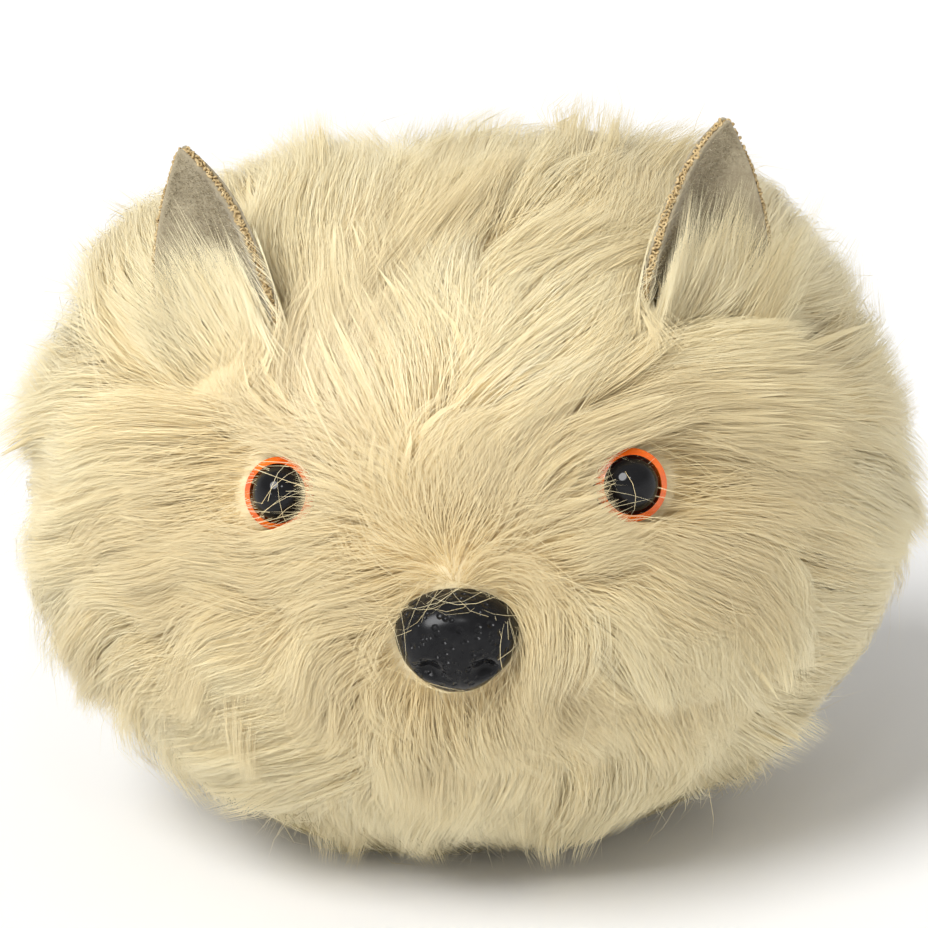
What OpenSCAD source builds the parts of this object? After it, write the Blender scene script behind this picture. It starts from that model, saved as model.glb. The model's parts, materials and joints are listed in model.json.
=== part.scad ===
// Plush dog: a round stuffed head in long cream pile, with domed eyes, a moulded nose and two
// cupped ears that bend about their sewn base lines. Millimetres, +Z up, the face looks along -Y.
// Left and right are as seen from the front: left is -X.

/* [Body] */
// width across the fur
body_w = 183; // [165:1:200]
// depth of the fur ball, without the muzzle
body_d = 152; // [140:1:165]
// height of the fur ball before the underside is flattened
body_h = 150; // [140:1:160]
// height lost where the underside sits flat
sit_drop = 4; // [3:0.5:6]
// how far the muzzle stands forward of the ball
muzzle_reach = 8; // [4:1:12]

/* [Pile] */
// depth of the combed pile over the skull and cheeks
pile_t = 16; // [13:1:18]
// share of the pile depth trimmed away around the face
face_trim = 0.55; // [0.4:0.05:0.65]
// thickness of the woven backing under the pile
backing_t = 1.5; // [1.2:0.1:2]
// half the gap along each panel seam, in degrees
seam_deg = 0.12; // [0.08:0.02:0.3]
// seam between the middle panels and the side panels, in degrees from the middle
side_seam = 36; // [33:1:40]

/* [Eyes] */
// diameter of an eye across its iris ring
eye_d = 14; // [12:0.5:15]
// width of the iris ring
iris_w = 1.3; // [0.9:0.1:1.6]
// height of the pupil dome above its seat
pupil_h = 5; // [4:0.25:5.5]
// eye position, in degrees out from the middle
eye_side = 23.5; // [21:0.5:25]
// eye position, in degrees above the middle
eye_rise = 21.5; // [19:0.5:25]

/* [Nose] */
// width of the nose
nose_w = 24; // [20:1:26]
// height of the nose
nose_h = 20; // [17:1:22]
// how far the nose stands out of its seat
nose_t = 9; // [7:0.5:10]
// nose position, in degrees above the middle
nose_rise = -1; // [-4:1:4]

/* [Fixings] */
// diameter of the stem behind each eye and the nose
stem_d = 5; // [4:0.5:6]
// length of the stem behind the fabric
stem_l = 13; // [10:1:16]
// diameter of the locking washers
washer_d = 13; // [11:0.5:14]
// thickness of the locking washers
washer_t = 1.4; // [1:0.1:2]

/* [Ears] */
// width of an ear along its sewn base
ear_w = 26; // [24:1:30]
// length of an ear from base to tip
ear_l = 34; // [31:1:42]
// radius of the cup that an ear is folded to
cup_r = 16; // [14.5:0.5:20]
// thickness of each velour layer
velour_t = 0.8; // [0.6:0.1:1.2]
// thickness of the looped knit between the velour layers
knit_t = 0.7; // [0.5:0.1:1]
// outward lean of the left ear
lean_left = 13; // [9:1:22]
// outward lean of the right ear
lean_right = 11; // [7:1:22]
// position of the left ear, in degrees above the middle of the face
rise_left = 55; // [50:1:62]
// position of the right ear, in degrees above the middle of the face
rise_right = 61; // [55:1:68]
// position of the left ear, in degrees out from the middle
side_left = 32; // [30:1:36]
// position of the right ear, in degrees out from the middle
side_right = 35; // [30:1:36]
// forward tilt of the ears
ear_tilt = 8; // [4:1:14]
// outward turn of the open side of the ears
ear_yaw = 30; // [20:1:36]
// bend each way about the sewn base, in degrees
ear_bend = 30; // [15:5:30]

/* [Hidden] */

CREAM = [0.91, 0.84, 0.67];
GREY = [0.62, 0.58, 0.50];
TAN = [0.78, 0.66, 0.44];
BLACK = [0.03, 0.03, 0.035];

half = [body_w / 2, body_d / 2, body_h / 2];
muzzle_spread = 30;
face_spread = 40;
face_rise = 8;
grid = 6;
loose = 0.3;
washer_seat = 0.5;
far = 300;

// middle panels, as the angle around the ball from the face over the crown to the underside
FACE_TOP = 33;
CROWN_END = 112;
BACK_END = 232;
BASE_END = 308;
CHIN_END = 338;

// ---- the skin and the pile, as one family of surfaces: s = 0 at the pile, 1 at the skin ----

function wrap(a) = a > 180 ? a - 360 : a;
function bell(a, t, a0, spread) = exp(-(pow(wrap(a) - a0, 2) + t * t) / pow(spread, 2));
function pile(a, t) = pile_t * (1 - face_trim * bell(a, t, face_rise, face_spread));
function ball_pt(a, t, s) =
    let (r = half - s * pile(a, t) * [1, 1, 1])
    let (bump = muzzle_reach * bell(a, t, nose_rise, muzzle_spread))
    [r.x * sin(t), -r.y * cos(t) * cos(a) - bump, r.z * cos(t) * sin(a)];

// the middle of the ball: the nose and the back are equally far from the origin
nose_front = backing_t + nose_t - ball_pt(nose_rise, 0, 1).y;
centre = [0, (nose_front - half.y) / 2, half.z - sit_drop];
function shell_pt(a, t, s) = centre + ball_pt(a, t, s);

function tri(q, flip) = flip
    ? [[q[0], q[1], q[2]], [q[0], q[2], q[3]]]
    : [[q[2], q[1], q[0]], [q[3], q[2], q[0]]];
function cat(lists) = [for (l = lists) each l];

// one middle panel: a patch of the pile surface, the skin under it, and four rims
module middle_panel(a0, a1) {
    na = ceil((a1 - a0) / grid);
    nt = ceil(2 * side_seam / grid);
    a_lo = a0 + seam_deg;
    a_step = (a1 - a0 - 2 * seam_deg) / na;
    t_lo = seam_deg - side_seam;
    t_step = -2 * t_lo / nt;
    cols = nt + 1;
    size = (na + 1) * cols;
    function at(i, j, s) = s * size + i * cols + j;
    points = [
        for (s = [0, 1], i = [0:na], j = [0:nt]) shell_pt(a_lo + i * a_step, t_lo + j * t_step, s)
    ];
    skins = cat([
        for (s = [0, 1], i = [0:na - 1], j = [0:nt - 1])
            tri([at(i, j, s), at(i + 1, j, s), at(i + 1, j + 1, s), at(i, j + 1, s)], s == 0)
    ]);
    ends = cat([
        for (e = [0, 1], j = [0:nt - 1])
            tri([at(e * na, j, 0), at(e * na, j + 1, 0), at(e * na, j + 1, 1), at(e * na, j, 1)],
                e == 0)
    ]);
    sides = cat([
        for (e = [0, 1], i = [0:na - 1])
            tri([at(i, e * nt, 0), at(i + 1, e * nt, 0), at(i + 1, e * nt, 1), at(i, e * nt, 1)],
                e == 1)
    ]);
    polyhedron(points = points, faces = concat(skins, ends, sides));
}

// rings around the X axis from one angle out to the pole at +X, closed at that pole
function ring_points(t_lo, rings, s) = [
    for (j = [0:rings - 1], i = [0:360 / grid - 1])
        shell_pt(i * grid, t_lo + j * (90 - t_lo) / rings, s)
];
function ring_faces(first, rings, pole, flip) = let (n = 360 / grid) concat(
    cat([
        for (j = [0:rings - 2], i = [0:n - 1])
            let (a = first + j * n + i, b = first + j * n + (i + 1) % n)
            tri([a, b, b + n, a + n], flip)
    ]),
    [
        for (i = [0:n - 1])
            let (a = first + (rings - 1) * n + i, b = first + (rings - 1) * n + (i + 1) % n)
            flip ? [a, b, pole] : [pole, b, a]
    ]
);

module side_panel() {
    n = 360 / grid;
    rings = ceil((90 - side_seam) / grid);
    t_lo = side_seam + seam_deg;
    size = rings * n;
    points = concat(
        ring_points(t_lo, rings, 0), ring_points(t_lo, rings, 1),
        [shell_pt(0, 90, 0), shell_pt(0, 90, 1)]
    );
    rim = cat([
        for (i = [0:n - 1])
            tri([i, (i + 1) % n, size + (i + 1) % n, size + i], false)
    ]);
    polyhedron(
        points = points,
        faces = concat(
            ring_faces(0, rings, 2 * size, true),
            ring_faces(size, rings, 2 * size + 1, false),
            rim
        )
    );
}

// the stuffed core: rings from the middle out to both poles, a little inside the skin
module core() {
    n = 360 / grid;
    rings = 90 / grid;
    size = rings * n;
    function inner(a, t) = shell_pt(a, t, 1) - loose * (shell_pt(a, t, 0) - shell_pt(a, t, 1))
        / norm(shell_pt(a, t, 0) - shell_pt(a, t, 1));
    points = concat(
        [for (j = [0:rings - 1], i = [0:n - 1]) inner(i * grid, j * grid)],
        [for (j = [1:rings - 1], i = [0:n - 1]) inner(i * grid, -j * grid)],
        [inner(0, 90), inner(0, -90)]
    );
    last = len(points) - 1;
    near = cat([
        for (i = [0:n - 1])
            tri([i, (i + 1) % n, size + (i + 1) % n, size + i], false)
    ]);
    polyhedron(
        points = points,
        faces = concat(
            ring_faces(0, rings, last - 1, true),
            near,
            ring_faces(size, rings - 1, last, false)
        )
    );
}

// ---- seats: a local frame on the skin with +Z straight out of the fabric ----

module seat(a, t, yaw, pitch)
    translate(shell_pt(a, t, 1))
        rotate([90 - pitch, 0, yaw])
            children();

module eye_seat(side) seat(eye_rise, side * eye_side, side * 18, 20) children();
module nose_seat() seat(nose_rise, 0, 0, 4) children();

module ring(d_out, d_in, h)
    difference() {
        cylinder(d = d_out, h = h);
        translate([0, 0, -1]) cylinder(d = d_in, h = h + 2);
    }

// room in the pile for a fitting, the hole for its stem and a flat seat for its washer
module fitting_room(d) {
    translate([0, 0, backing_t]) cylinder(d = d, h = 40);
    translate([0, 0, -stem_l - 1]) cylinder(d = stem_d + 0.6, h = 2 * stem_l);
    translate([0, 0, -stem_l - 1]) cylinder(d = washer_d + 1, h = stem_l + 1 - washer_seat);
}

module washer_room()
    translate([0, 0, -stem_l - 1]) cylinder(d = washer_d + 1, h = stem_l + 20);

module washer()
    translate([0, 0, -washer_seat - loose - washer_t]) ring(washer_d, stem_d + 0.1, washer_t);

module stem()
    translate([0, 0, -stem_l]) cylinder(d = stem_d, h = stem_l + backing_t + 1);

// ---- ears: three cupped layers cut to one pointed outline and sewn along a leaning root ----

ROOT_LEAN = 14;
ROOT_LIFT = 7;
ear_t = 2 * velour_t + knit_t + 0.1;

// a frame on the middle of the sewn base: X along the bend line, Z away from the skin
module ear_root(side)
    translate(shell_pt(side < 0 ? rise_left : rise_right, side < 0 ? -side_left : side_right, 1))
        rotate([ear_tilt, side * ROOT_LEAN, side * ear_yaw])
            translate([0, 0, ROOT_LIFT])
                children();

// from the root to the ear's own upright: Z runs to the tip
module ear_upright(side)
    rotate([0, side * ((side < 0 ? lean_left : lean_right) - ROOT_LEAN), 0]) children();

// pointed outline, from two wide arcs; grow is how far the edge stands outside the velour
module ear_outline(grow) {
    arc_r = (pow(ear_l, 2) + pow(ear_w / 2, 2)) / ear_w;
    rotate([90, 0, 0])
        intersection() {
            translate([arc_r - ear_w / 2, 0, -20]) cylinder(r = arc_r + grow, h = 40);
            translate([ear_w / 2 - arc_r, 0, -20]) cylinder(r = arc_r + grow, h = 40);
        }
}

// one layer of the cup, with its hollow side at depth d behind the lining's face
module ear_layer(side, d, t, grow)
    ear_root(side)
        intersection() {
            ear_upright(side)
                intersection() {
                    ear_outline(grow);
                    translate([0, -cup_r, -ear_l])
                        ring(2 * (cup_r + d + t), 2 * (cup_r + d), 2.5 * ear_l);
                    translate([-ear_w, -0.85 * cup_r, -ear_l])
                        cube([2 * ear_w, 2 * cup_r, 2.5 * ear_l]);
                }
            translate([-ear_w, -far / 2, 0]) cube([2 * ear_w, far, 2 * ear_l]);
        }

// whipped stitches through the three layers along the base
module ear_stitches()
    for (turn = [-40:20:40])
        translate([0, -cup_r, 0.6])
            rotate([0, 0, turn])
                translate([0, cup_r + ear_t / 2, 0])
                    rotate([0, 90, 0])
                        rotate_extrude()
                            translate([2, 0]) circle(r = 0.25);

// the room an ear needs in the pile through its whole bend
module ear_room() {
    reach = 30;
    drop = 4;
    front = -10;
    back = ear_t + 3;
    spread = reach * tan(ear_bend + 6);
    translate([-ear_w / 2 - 5, 0, 0])
        rotate([90, 0, 90])
            linear_extrude(ear_w + 10)
                polygon([
                    [front, -drop], [back, -drop], [back + spread, reach], [front - spread, reach]
                ]);
}

module both_ear_rooms()
    for (side = [-1, 1])
        ear_root(side) ear_room();

// ---- panels ----

module below_floor() translate([-far / 2, -far / 2, -far]) cube(far);

module fur_crown()
    color(CREAM)
        difference() {
            middle_panel(FACE_TOP, CROWN_END);
            both_ear_rooms();
        }

module fur_face()
    color(CREAM)
        difference() {
            middle_panel(CHIN_END - 360, FACE_TOP);
            for (side = [-1, 1]) eye_seat(side) fitting_room(eye_d + 1);
            nose_seat() fitting_room(nose_w + 2);
            both_ear_rooms();
        }

module fur_chin() color(CREAM) middle_panel(BASE_END, CHIN_END);

module fur_base()
    color(CREAM)
        difference() {
            middle_panel(BACK_END, BASE_END);
            below_floor();
        }

module fur_back() color(CREAM) middle_panel(CROWN_END, BACK_END);

module fur_side(side)
    color(CREAM)
        difference() {
            if (side > 0) side_panel();
            else mirror([1, 0, 0]) side_panel();
            ear_root(side) ear_room();
        }

module stuffing()
    color([0.96, 0.96, 0.94])
        difference() {
            core();
            for (side = [-1, 1]) eye_seat(side) washer_room();
            nose_seat() washer_room();
        }

// ladder stitches that close the opening in the seam under the back
module closing_thread()
    color(TAN)
        for (t = [-24:6:24])
            translate(shell_pt(BACK_END, t, 1))
                rotate([0, 90, 0])
                    rotate_extrude()
                        translate([1.6, 0]) circle(r = 0.3);

// ---- eyes ----

iris_in = eye_d / 2 - iris_w;
seat_top = backing_t + 1.4;

module eye_pupil(side)
    color(BLACK)
        eye_seat(side)
            translate([0, 0, seat_top]) {
                dome_r = (pow(iris_in - 0.1, 2) + pow(pupil_h, 2)) / (2 * pupil_h);
                intersection() {
                    cylinder(r = iris_in - 0.1, h = pupil_h + 1);
                    translate([0, 0, pupil_h - dome_r]) sphere(r = dome_r);
                }
            }

module eye_iris(side)
    color([0.93, 0.36, 0.05])
        eye_seat(side)
            translate([0, 0, seat_top])
                rotate_extrude()
                    polygon([[iris_in, 0], [eye_d / 2, 0], [eye_d / 2, 0.7], [iris_in, 1.5]]);

module eye_stem(side)
    color(BLACK)
        eye_seat(side) {
            stem();
            translate([0, 0, backing_t]) cylinder(d = eye_d, h = seat_top - backing_t);
        }

module eye_washer(side) color([0.9, 0.9, 0.88]) eye_seat(side) washer();

// ---- nose ----

nose_turns = 32;
nose_rows = 8;

// a wide rounded top that narrows to a rounded bottom, domed towards +Z
function nose_pt(i, j) =
    let (u = 360 * i / nose_turns)
    let (v = 90 * j / nose_rows)
    let (s = pow(cos(v), 0.75))
    [nose_w / 2 * s * cos(u) * (0.96 + 0.16 * sin(u)), nose_h / 2 * s * sin(u), nose_t * sin(v)];

module nose_dome() {
    n = nose_turns;
    points = concat(
        [for (j = [0:nose_rows - 1], i = [0:n - 1]) nose_pt(i, j)],
        [[0, 0, nose_t], [0, 0, 0]]
    );
    walls = cat([
        for (j = [0:nose_rows - 2], i = [0:n - 1])
            let (a = j * n + i, b = j * n + (i + 1) % n)
            tri([a, b, b + n, a + n], false)
    ]);
    tip = [
        for (i = [0:n - 1]) let (a = (nose_rows - 1) * n) [a + (i + 1) % n, a + i, nose_rows * n]
    ];
    foot = [for (i = [0:n - 1]) [i, (i + 1) % n, nose_rows * n + 1]];
    polyhedron(points = points, faces = concat(walls, tip, foot));
}

module nose()
    color(BLACK)
        nose_seat()
            difference() {
                union() {
                    stem();
                    translate([0, 0, backing_t]) nose_dome();
                }
                for (side = [-1, 1])
                    translate([side * nose_w * 0.25, -nose_h * 0.2, backing_t + nose_t * 0.92])
                        sphere(r = 2.2);
            }

module nose_washer() color([0.9, 0.9, 0.88]) nose_seat() washer();

// ---- ear pieces ----

module ear_lining(side) color(GREY) ear_layer(side, 0, velour_t, 0);

module ear_knit(side) color(TAN) ear_layer(side, velour_t + 0.05, knit_t, 0.6);

module ear_back(side) color(GREY) ear_layer(side, velour_t + knit_t + 0.1, velour_t, 0);

module ear_thread(side) color(TAN) ear_root(side) ear_stitches();

fur_crown();
fur_face();
fur_chin();
fur_base();
fur_back();
fur_side(-1);  // fur_side_left
fur_side(1);  // fur_side_right
stuffing();
closing_thread();
eye_pupil(-1);  // eye_pupil_left
eye_pupil(1);  // eye_pupil_right
eye_iris(-1);  // eye_iris_left
eye_iris(1);  // eye_iris_right
eye_stem(-1);  // eye_stem_left
eye_stem(1);  // eye_stem_right
eye_washer(-1);  // eye_washer_left
eye_washer(1);  // eye_washer_right
nose();
nose_washer();
ear_lining(-1);  // ear_lining_left
ear_lining(1);  // ear_lining_right
ear_knit(-1);  // ear_knit_left
ear_knit(1);  // ear_knit_right
ear_back(-1);  // ear_back_left
ear_back(1);  // ear_back_right
ear_thread(-1);  // ear_thread_left
ear_thread(1);  // ear_thread_right
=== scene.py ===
"""The looks of the plush dog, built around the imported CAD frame. Metres, +Z up, face along -Y."""

import json
import math

import bpy
import numpy as np
from mathutils import Euler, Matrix
from mathutils import Vector


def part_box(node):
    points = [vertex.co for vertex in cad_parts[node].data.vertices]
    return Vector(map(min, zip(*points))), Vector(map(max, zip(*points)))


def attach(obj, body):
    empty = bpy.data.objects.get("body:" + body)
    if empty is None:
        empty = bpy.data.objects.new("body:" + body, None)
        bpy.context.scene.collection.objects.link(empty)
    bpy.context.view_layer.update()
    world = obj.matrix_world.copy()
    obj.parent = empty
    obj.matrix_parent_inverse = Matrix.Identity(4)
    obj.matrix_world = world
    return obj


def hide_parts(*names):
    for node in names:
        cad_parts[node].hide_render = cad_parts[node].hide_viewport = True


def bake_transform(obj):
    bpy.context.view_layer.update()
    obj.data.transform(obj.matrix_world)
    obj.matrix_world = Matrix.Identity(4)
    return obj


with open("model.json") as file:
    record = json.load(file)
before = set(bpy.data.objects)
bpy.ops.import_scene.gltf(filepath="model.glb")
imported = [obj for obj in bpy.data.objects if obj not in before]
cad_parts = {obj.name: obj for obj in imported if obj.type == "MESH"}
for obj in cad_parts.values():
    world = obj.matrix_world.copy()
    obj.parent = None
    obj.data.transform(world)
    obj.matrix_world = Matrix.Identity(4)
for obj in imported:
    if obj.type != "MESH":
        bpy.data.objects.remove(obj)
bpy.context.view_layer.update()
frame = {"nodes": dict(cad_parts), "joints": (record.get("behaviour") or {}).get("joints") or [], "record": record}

MM = 0.001
RNG = np.random.default_rng(7)

# ---- the ball, read from the frame; the same surfaces as the CAD part ----

SIDE_LOW, SIDE_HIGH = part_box("fur_side_right")
REST = frame["record"]["mounts"][0]["pos_m"]
CENTRE = np.array([0.0, REST[1], (SIDE_LOW.z + SIDE_HIGH.z) / 2])
HALF = np.array(
    [SIDE_HIGH.x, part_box("fur_back")[1].y - CENTRE[1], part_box("fur_crown")[1].z - CENTRE[2]]
)
PILE = 16 * MM
FACE_TRIM = 0.55
FACE_RISE, FACE_SPREAD = 8.0, 40.0
MUZZLE_REACH = 8 * MM
NOSE_RISE, MUZZLE_SPREAD = -1.0, 30.0
EYE_RISE, EYE_SIDE, EYE_TURN, EYE_PITCH = 21.5, 23.5, 18.0, 20.0
NOSE_PITCH = 4.0
BACKING = 1.5 * MM
EYE_R = 7 * MM
NOSE_W, NOSE_H, NOSE_T = 24 * MM, 20 * MM, 9 * MM
SIDE_SEAM = 36.0
FACE_TOP, CROWN_END, BACK_END, BASE_END, CHIN_END = 33.0, 112.0, 232.0, 308.0, 338.0


def directions(a, t):
    """Unit vectors from angles in degrees: a round the X axis from the face, t out towards +X."""
    a, t = np.radians(a), np.radians(t)
    return np.stack([np.sin(t), -np.cos(t) * np.cos(a), np.cos(t) * np.sin(a)], -1)


def angles(u):
    a = np.degrees(np.arctan2(u[..., 2], -u[..., 1]))
    t = np.degrees(np.arcsin(np.clip(u[..., 0], -1, 1)))
    return a, t


def bell(a, t, rise, spread):
    return np.exp(-((a - rise) ** 2 + t**2) / spread**2)


def pile_depth(u):
    return PILE * (1 - FACE_TRIM * bell(*angles(u), FACE_RISE, FACE_SPREAD))


def surface(u, height):
    """The point over direction u that stands height above the skin."""
    r = HALF + (height - pile_depth(u))[..., None]
    bump = MUZZLE_REACH * bell(*angles(u), NOSE_RISE, MUZZLE_SPREAD)
    p = CENTRE + r * u
    p[..., 1] -= bump
    return p


def unit(v):
    return v / np.maximum(np.linalg.norm(v, axis=-1, keepdims=True), 1e-9)


def outward(u):
    return unit(u / HALF)


def direction_of(p):
    return unit((p - CENTRE) / HALF)


# ---- local frames of the eyes, the nose and the ears ----


def turned(x, y, z):
    return np.array(Euler([math.radians(d) for d in (x, y, z)], "XYZ").to_matrix())


def seat(rise, side, turn, pitch):
    """Origin and axes of a fitting: the third axis points straight out of the fabric."""
    return surface(directions(rise, side), np.array(0.0)), turned(90 - pitch, 0, turn)


EYES = {
    "left": seat(EYE_RISE, -EYE_SIDE, -EYE_TURN, EYE_PITCH),
    "right": seat(EYE_RISE, EYE_SIDE, EYE_TURN, EYE_PITCH),
}
NOSE = seat(NOSE_RISE, 0.0, 0.0, NOSE_PITCH)

EAR_W, EAR_L, CUP_R = 26 * MM, 34 * MM, 16 * MM
VELOUR_T, KNIT_T = 0.8 * MM, 0.7 * MM
EAR_T = 2 * VELOUR_T + KNIT_T + 0.1 * MM
EAR_TILT, EAR_YAW, ROOT_LEAN = 8.0, 30.0, 14.0
LEAN = {"left": 13.0, "right": 11.0}
SIGN = {"left": -1, "right": 1}
HINGE_Y = -2.5 * MM
ARC_R = (EAR_L**2 + (EAR_W / 2) ** 2) / EAR_W


def ear_frame(side):
    """Origin and axes of an ear: the third axis runs to the tip, the second out of its back."""
    joint = next(j for j in frame["joints"] if j["name"] == f"ear_{side}_bend")
    root = turned(EAR_TILT, SIGN[side] * ROOT_LEAN, SIGN[side] * EAR_YAW)
    origin = np.array(joint["pos_m"]) - root @ np.array([0, HINGE_Y, 0])
    return origin, root @ turned(0, SIGN[side] * (LEAN[side] - ROOT_LEAN), 0)


EARS = {side: ear_frame(side) for side in ("left", "right")}


def to_local(p, place):
    origin, axes = place
    return (p - origin) @ axes


def to_row(p, place):
    origin, axes = place
    return p @ axes.T + origin


def ear_half_width(z):
    return np.sqrt(np.maximum(ARC_R**2 - z**2, 0)) - (ARC_R - EAR_W / 2)


# ---- meshes from arrays ----


def new_piece(name, verts, faces_4, faces_3, material, smooth=True):
    mesh = bpy.data.meshes.new(name)
    loops = np.concatenate([faces_4.ravel(), faces_3.ravel()]).astype(np.int32)
    starts = np.concatenate(
        [np.arange(len(faces_4)) * 4, len(faces_4) * 4 + np.arange(len(faces_3)) * 3]
    ).astype(np.int32)
    mesh.vertices.add(len(verts))
    mesh.vertices.foreach_set("co", verts.astype(np.float32).ravel())
    mesh.loops.add(len(loops))
    mesh.loops.foreach_set("vertex_index", loops)
    mesh.polygons.add(len(starts))
    mesh.polygons.foreach_set("loop_start", starts)
    mesh.update(calc_edges=True)
    mesh.polygons.foreach_set("use_smooth", np.full(len(starts), smooth))
    mesh.materials.append(material)
    piece = bpy.data.objects.new(name, mesh)
    bpy.context.scene.collection.objects.link(piece)
    return piece


def grid_faces(rows, columns):
    """Quads between the points of a grid whose every row is a closed ring."""
    i, j = np.meshgrid(np.arange(rows - 1), np.arange(columns), indexing="ij")
    k = (j + 1) % columns
    near, far = i * columns, (i + 1) * columns
    return np.stack([near + j, near + k, far + k, far + j], -1).reshape(-1, 4)


def closing_fan(first, count, centre, downward):
    """Triangles from a ring of points, numbered from first, to its centre point."""
    j = first + np.arange(count)
    k = first + (np.arange(count) + 1) % count
    pair = (k, j) if downward else (j, k)
    return np.stack([*pair, np.full(count, centre)], -1)


def write_attribute(mesh, name, values):
    layer = mesh.attributes.new(name, "FLOAT", "POINT")
    layer.data.foreach_set("value", values.astype(np.float32).ravel())


# ---- materials ----


def node_material(name, roughness, specular=0.5, sheen=0.0, coat=0.0):
    mat = bpy.data.materials.new(name)
    mat.use_nodes = True
    shader = mat.node_tree.nodes["Principled BSDF"]
    shader.inputs["Roughness"].default_value = roughness
    shader.inputs["Specular IOR Level"].default_value = specular
    shader.inputs["Sheen Weight"].default_value = sheen
    shader.inputs["Coat Weight"].default_value = coat
    return mat, mat.node_tree, shader


def add(tree, kind, **settings):
    node = tree.nodes.new(kind)
    for name, value in settings.items():
        setattr(node, name, value)
    return node


def ramp(tree, factor, stops):
    """A colour ramp over (position, colour) stops, fed from a factor socket."""
    node = add(tree, "ShaderNodeValToRGB")
    elements = node.color_ramp.elements
    while len(elements) < len(stops):
        elements.new(0.5)
    for element, (position, colour) in zip(elements, stops):
        element.position = position
        element.color = (*colour, 1)
    tree.links.new(factor, node.inputs["Fac"])
    return node.outputs["Color"]


def noise(tree, scale, detail=4.0, roughness=0.6):
    place = add(tree, "ShaderNodeTexCoord")
    node = add(tree, "ShaderNodeTexNoise")
    node.inputs["Scale"].default_value = scale
    node.inputs["Detail"].default_value = detail
    node.inputs["Roughness"].default_value = roughness
    tree.links.new(place.outputs["Object"], node.inputs["Vector"])
    return node.outputs["Fac"]


def bump(tree, shader, height, strength, distance):
    node = add(tree, "ShaderNodeBump")
    node.inputs["Strength"].default_value = strength
    node.inputs["Distance"].default_value = distance
    tree.links.new(height, node.inputs["Height"])
    tree.links.new(node.outputs["Normal"], shader.inputs["Normal"])


def mix(tree, factor, a, b, mode="MIX"):
    node = add(tree, "ShaderNodeMix", data_type="RGBA", blend_type=mode)
    for value, socket in ((factor, node.inputs[0]), (a, node.inputs[6]), (b, node.inputs[7])):
        if isinstance(value, bpy.types.NodeSocket):
            tree.links.new(value, socket)
        elif isinstance(value, tuple):
            socket.default_value = (*value, 1)
        else:
            socket.default_value = value
    return node.outputs[2]


# The pile is darker and warmer towards the roots: partly the fibres' own colour, partly painted shade and warm
# bounce light deep in the pile.
FUR_ROOT = (0.80, 0.61, 0.28)
FUR_MID = (0.89, 0.74, 0.42)
FUR_TIP = (0.91, 0.81, 0.53)
FUR_WARM = (0.79, 0.62, 0.32)
FUR_PALE = (0.97, 0.90, 0.67)
# The darkest tone of the pile: painted shade, which the pile takes on near the eyes and the nose.
FUR_SOCKET_SHADE = (0.60, 0.45, 0.22)


def fur_material():
    mat, tree, shader = node_material("cream_pile", 0.42, specular=0.4)
    along = add(tree, "ShaderNodeAttribute", attribute_name="along").outputs["Fac"]
    tone = add(tree, "ShaderNodeAttribute", attribute_name="tone").outputs["Fac"]
    # Darker, warmer roots: partly the fibres' own colour, partly painted shade deep in the pile.
    length = ramp(tree, along, [(0.0, FUR_ROOT), (0.30, FUR_MID), (0.75, FUR_TIP)])
    # The low end of this tone ramp is the painted shade round the eyes and the nose.
    shade = ramp(
        tree, tone, [(0.0, FUR_SOCKET_SHADE), (0.15, FUR_WARM), (0.5, FUR_TIP), (0.9, FUR_PALE)]
    )
    tree.links.new(mix(tree, 0.45, length, shade), shader.inputs["Base Color"])
    return mat


def under_material():
    """Broad tufts that read as bundles of fibres, from streaks that run along them."""
    mat, tree, shader = node_material("cream_under_pile", 0.6, specular=0.2)
    along = add(tree, "ShaderNodeAttribute", attribute_name="along").outputs["Fac"]
    across = add(tree, "ShaderNodeAttribute", attribute_name="across").outputs["Fac"]
    tone = add(tree, "ShaderNodeAttribute", attribute_name="tone").outputs["Fac"]
    place = add(tree, "ShaderNodeCombineXYZ")
    for value, factor, socket in ((across, 14.0, "X"), (along, 1.2, "Y"), (tone, 90.0, "Z")):
        scaled = add(tree, "ShaderNodeMath", operation="MULTIPLY")
        scaled.inputs[1].default_value = factor
        tree.links.new(value, scaled.inputs[0])
        tree.links.new(scaled.outputs[0], place.inputs[socket])
    streaks = add(tree, "ShaderNodeTexNoise")
    streaks.inputs["Scale"].default_value = 1.0
    streaks.inputs["Detail"].default_value = 2.0
    tree.links.new(place.outputs[0], streaks.inputs["Vector"])
    fibre = ramp(tree, streaks.outputs["Fac"], [(0.3, FUR_WARM), (0.6, FUR_TIP)])
    # Darker, warmer roots: partly the fibres' own colour, partly painted shade deep in the pile.
    length = ramp(tree, along, [(0.0, FUR_ROOT), (0.5, FUR_MID), (1.0, FUR_TIP)])
    tree.links.new(mix(tree, 0.5, length, fibre), shader.inputs["Base Color"])
    return mat


def backing_material():
    mat, tree, shader = node_material("fur_backing", 0.9, specular=0.2)
    weave = noise(tree, 900.0)
    colour = ramp(tree, weave, [(0.3, (0.76, 0.62, 0.36)), (0.7, (0.88, 0.76, 0.50))])
    tree.links.new(colour, shader.inputs["Base Color"])
    bump(tree, shader, weave, 0.4, 0.3 * MM)
    return mat


def velour_material():
    mat, tree, shader = node_material("grey_velour", 0.85, specular=0.2, sheen=0.35)
    nap = noise(tree, 1600.0)
    cloud = noise(tree, 160.0)
    fine = ramp(tree, nap, [(0.3, (0.25, 0.20, 0.125)), (0.7, (0.43, 0.37, 0.25))])
    broad = ramp(tree, cloud, [(0.35, (0.24, 0.20, 0.13)), (0.65, (0.44, 0.385, 0.265))])
    tree.links.new(mix(tree, 0.5, fine, broad), shader.inputs["Base Color"])
    bump(tree, shader, nap, 0.5, 0.2 * MM)
    return mat


def nap_material():
    mat, tree, shader = node_material("velour_nap", 0.8, specular=0.2)
    tone = add(tree, "ShaderNodeAttribute", attribute_name="tone").outputs["Fac"]
    colour = ramp(tree, tone, [(0.0, (0.21, 0.17, 0.10)), (1.0, (0.57, 0.50, 0.355))])
    tree.links.new(colour, shader.inputs["Base Color"])
    return mat


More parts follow.
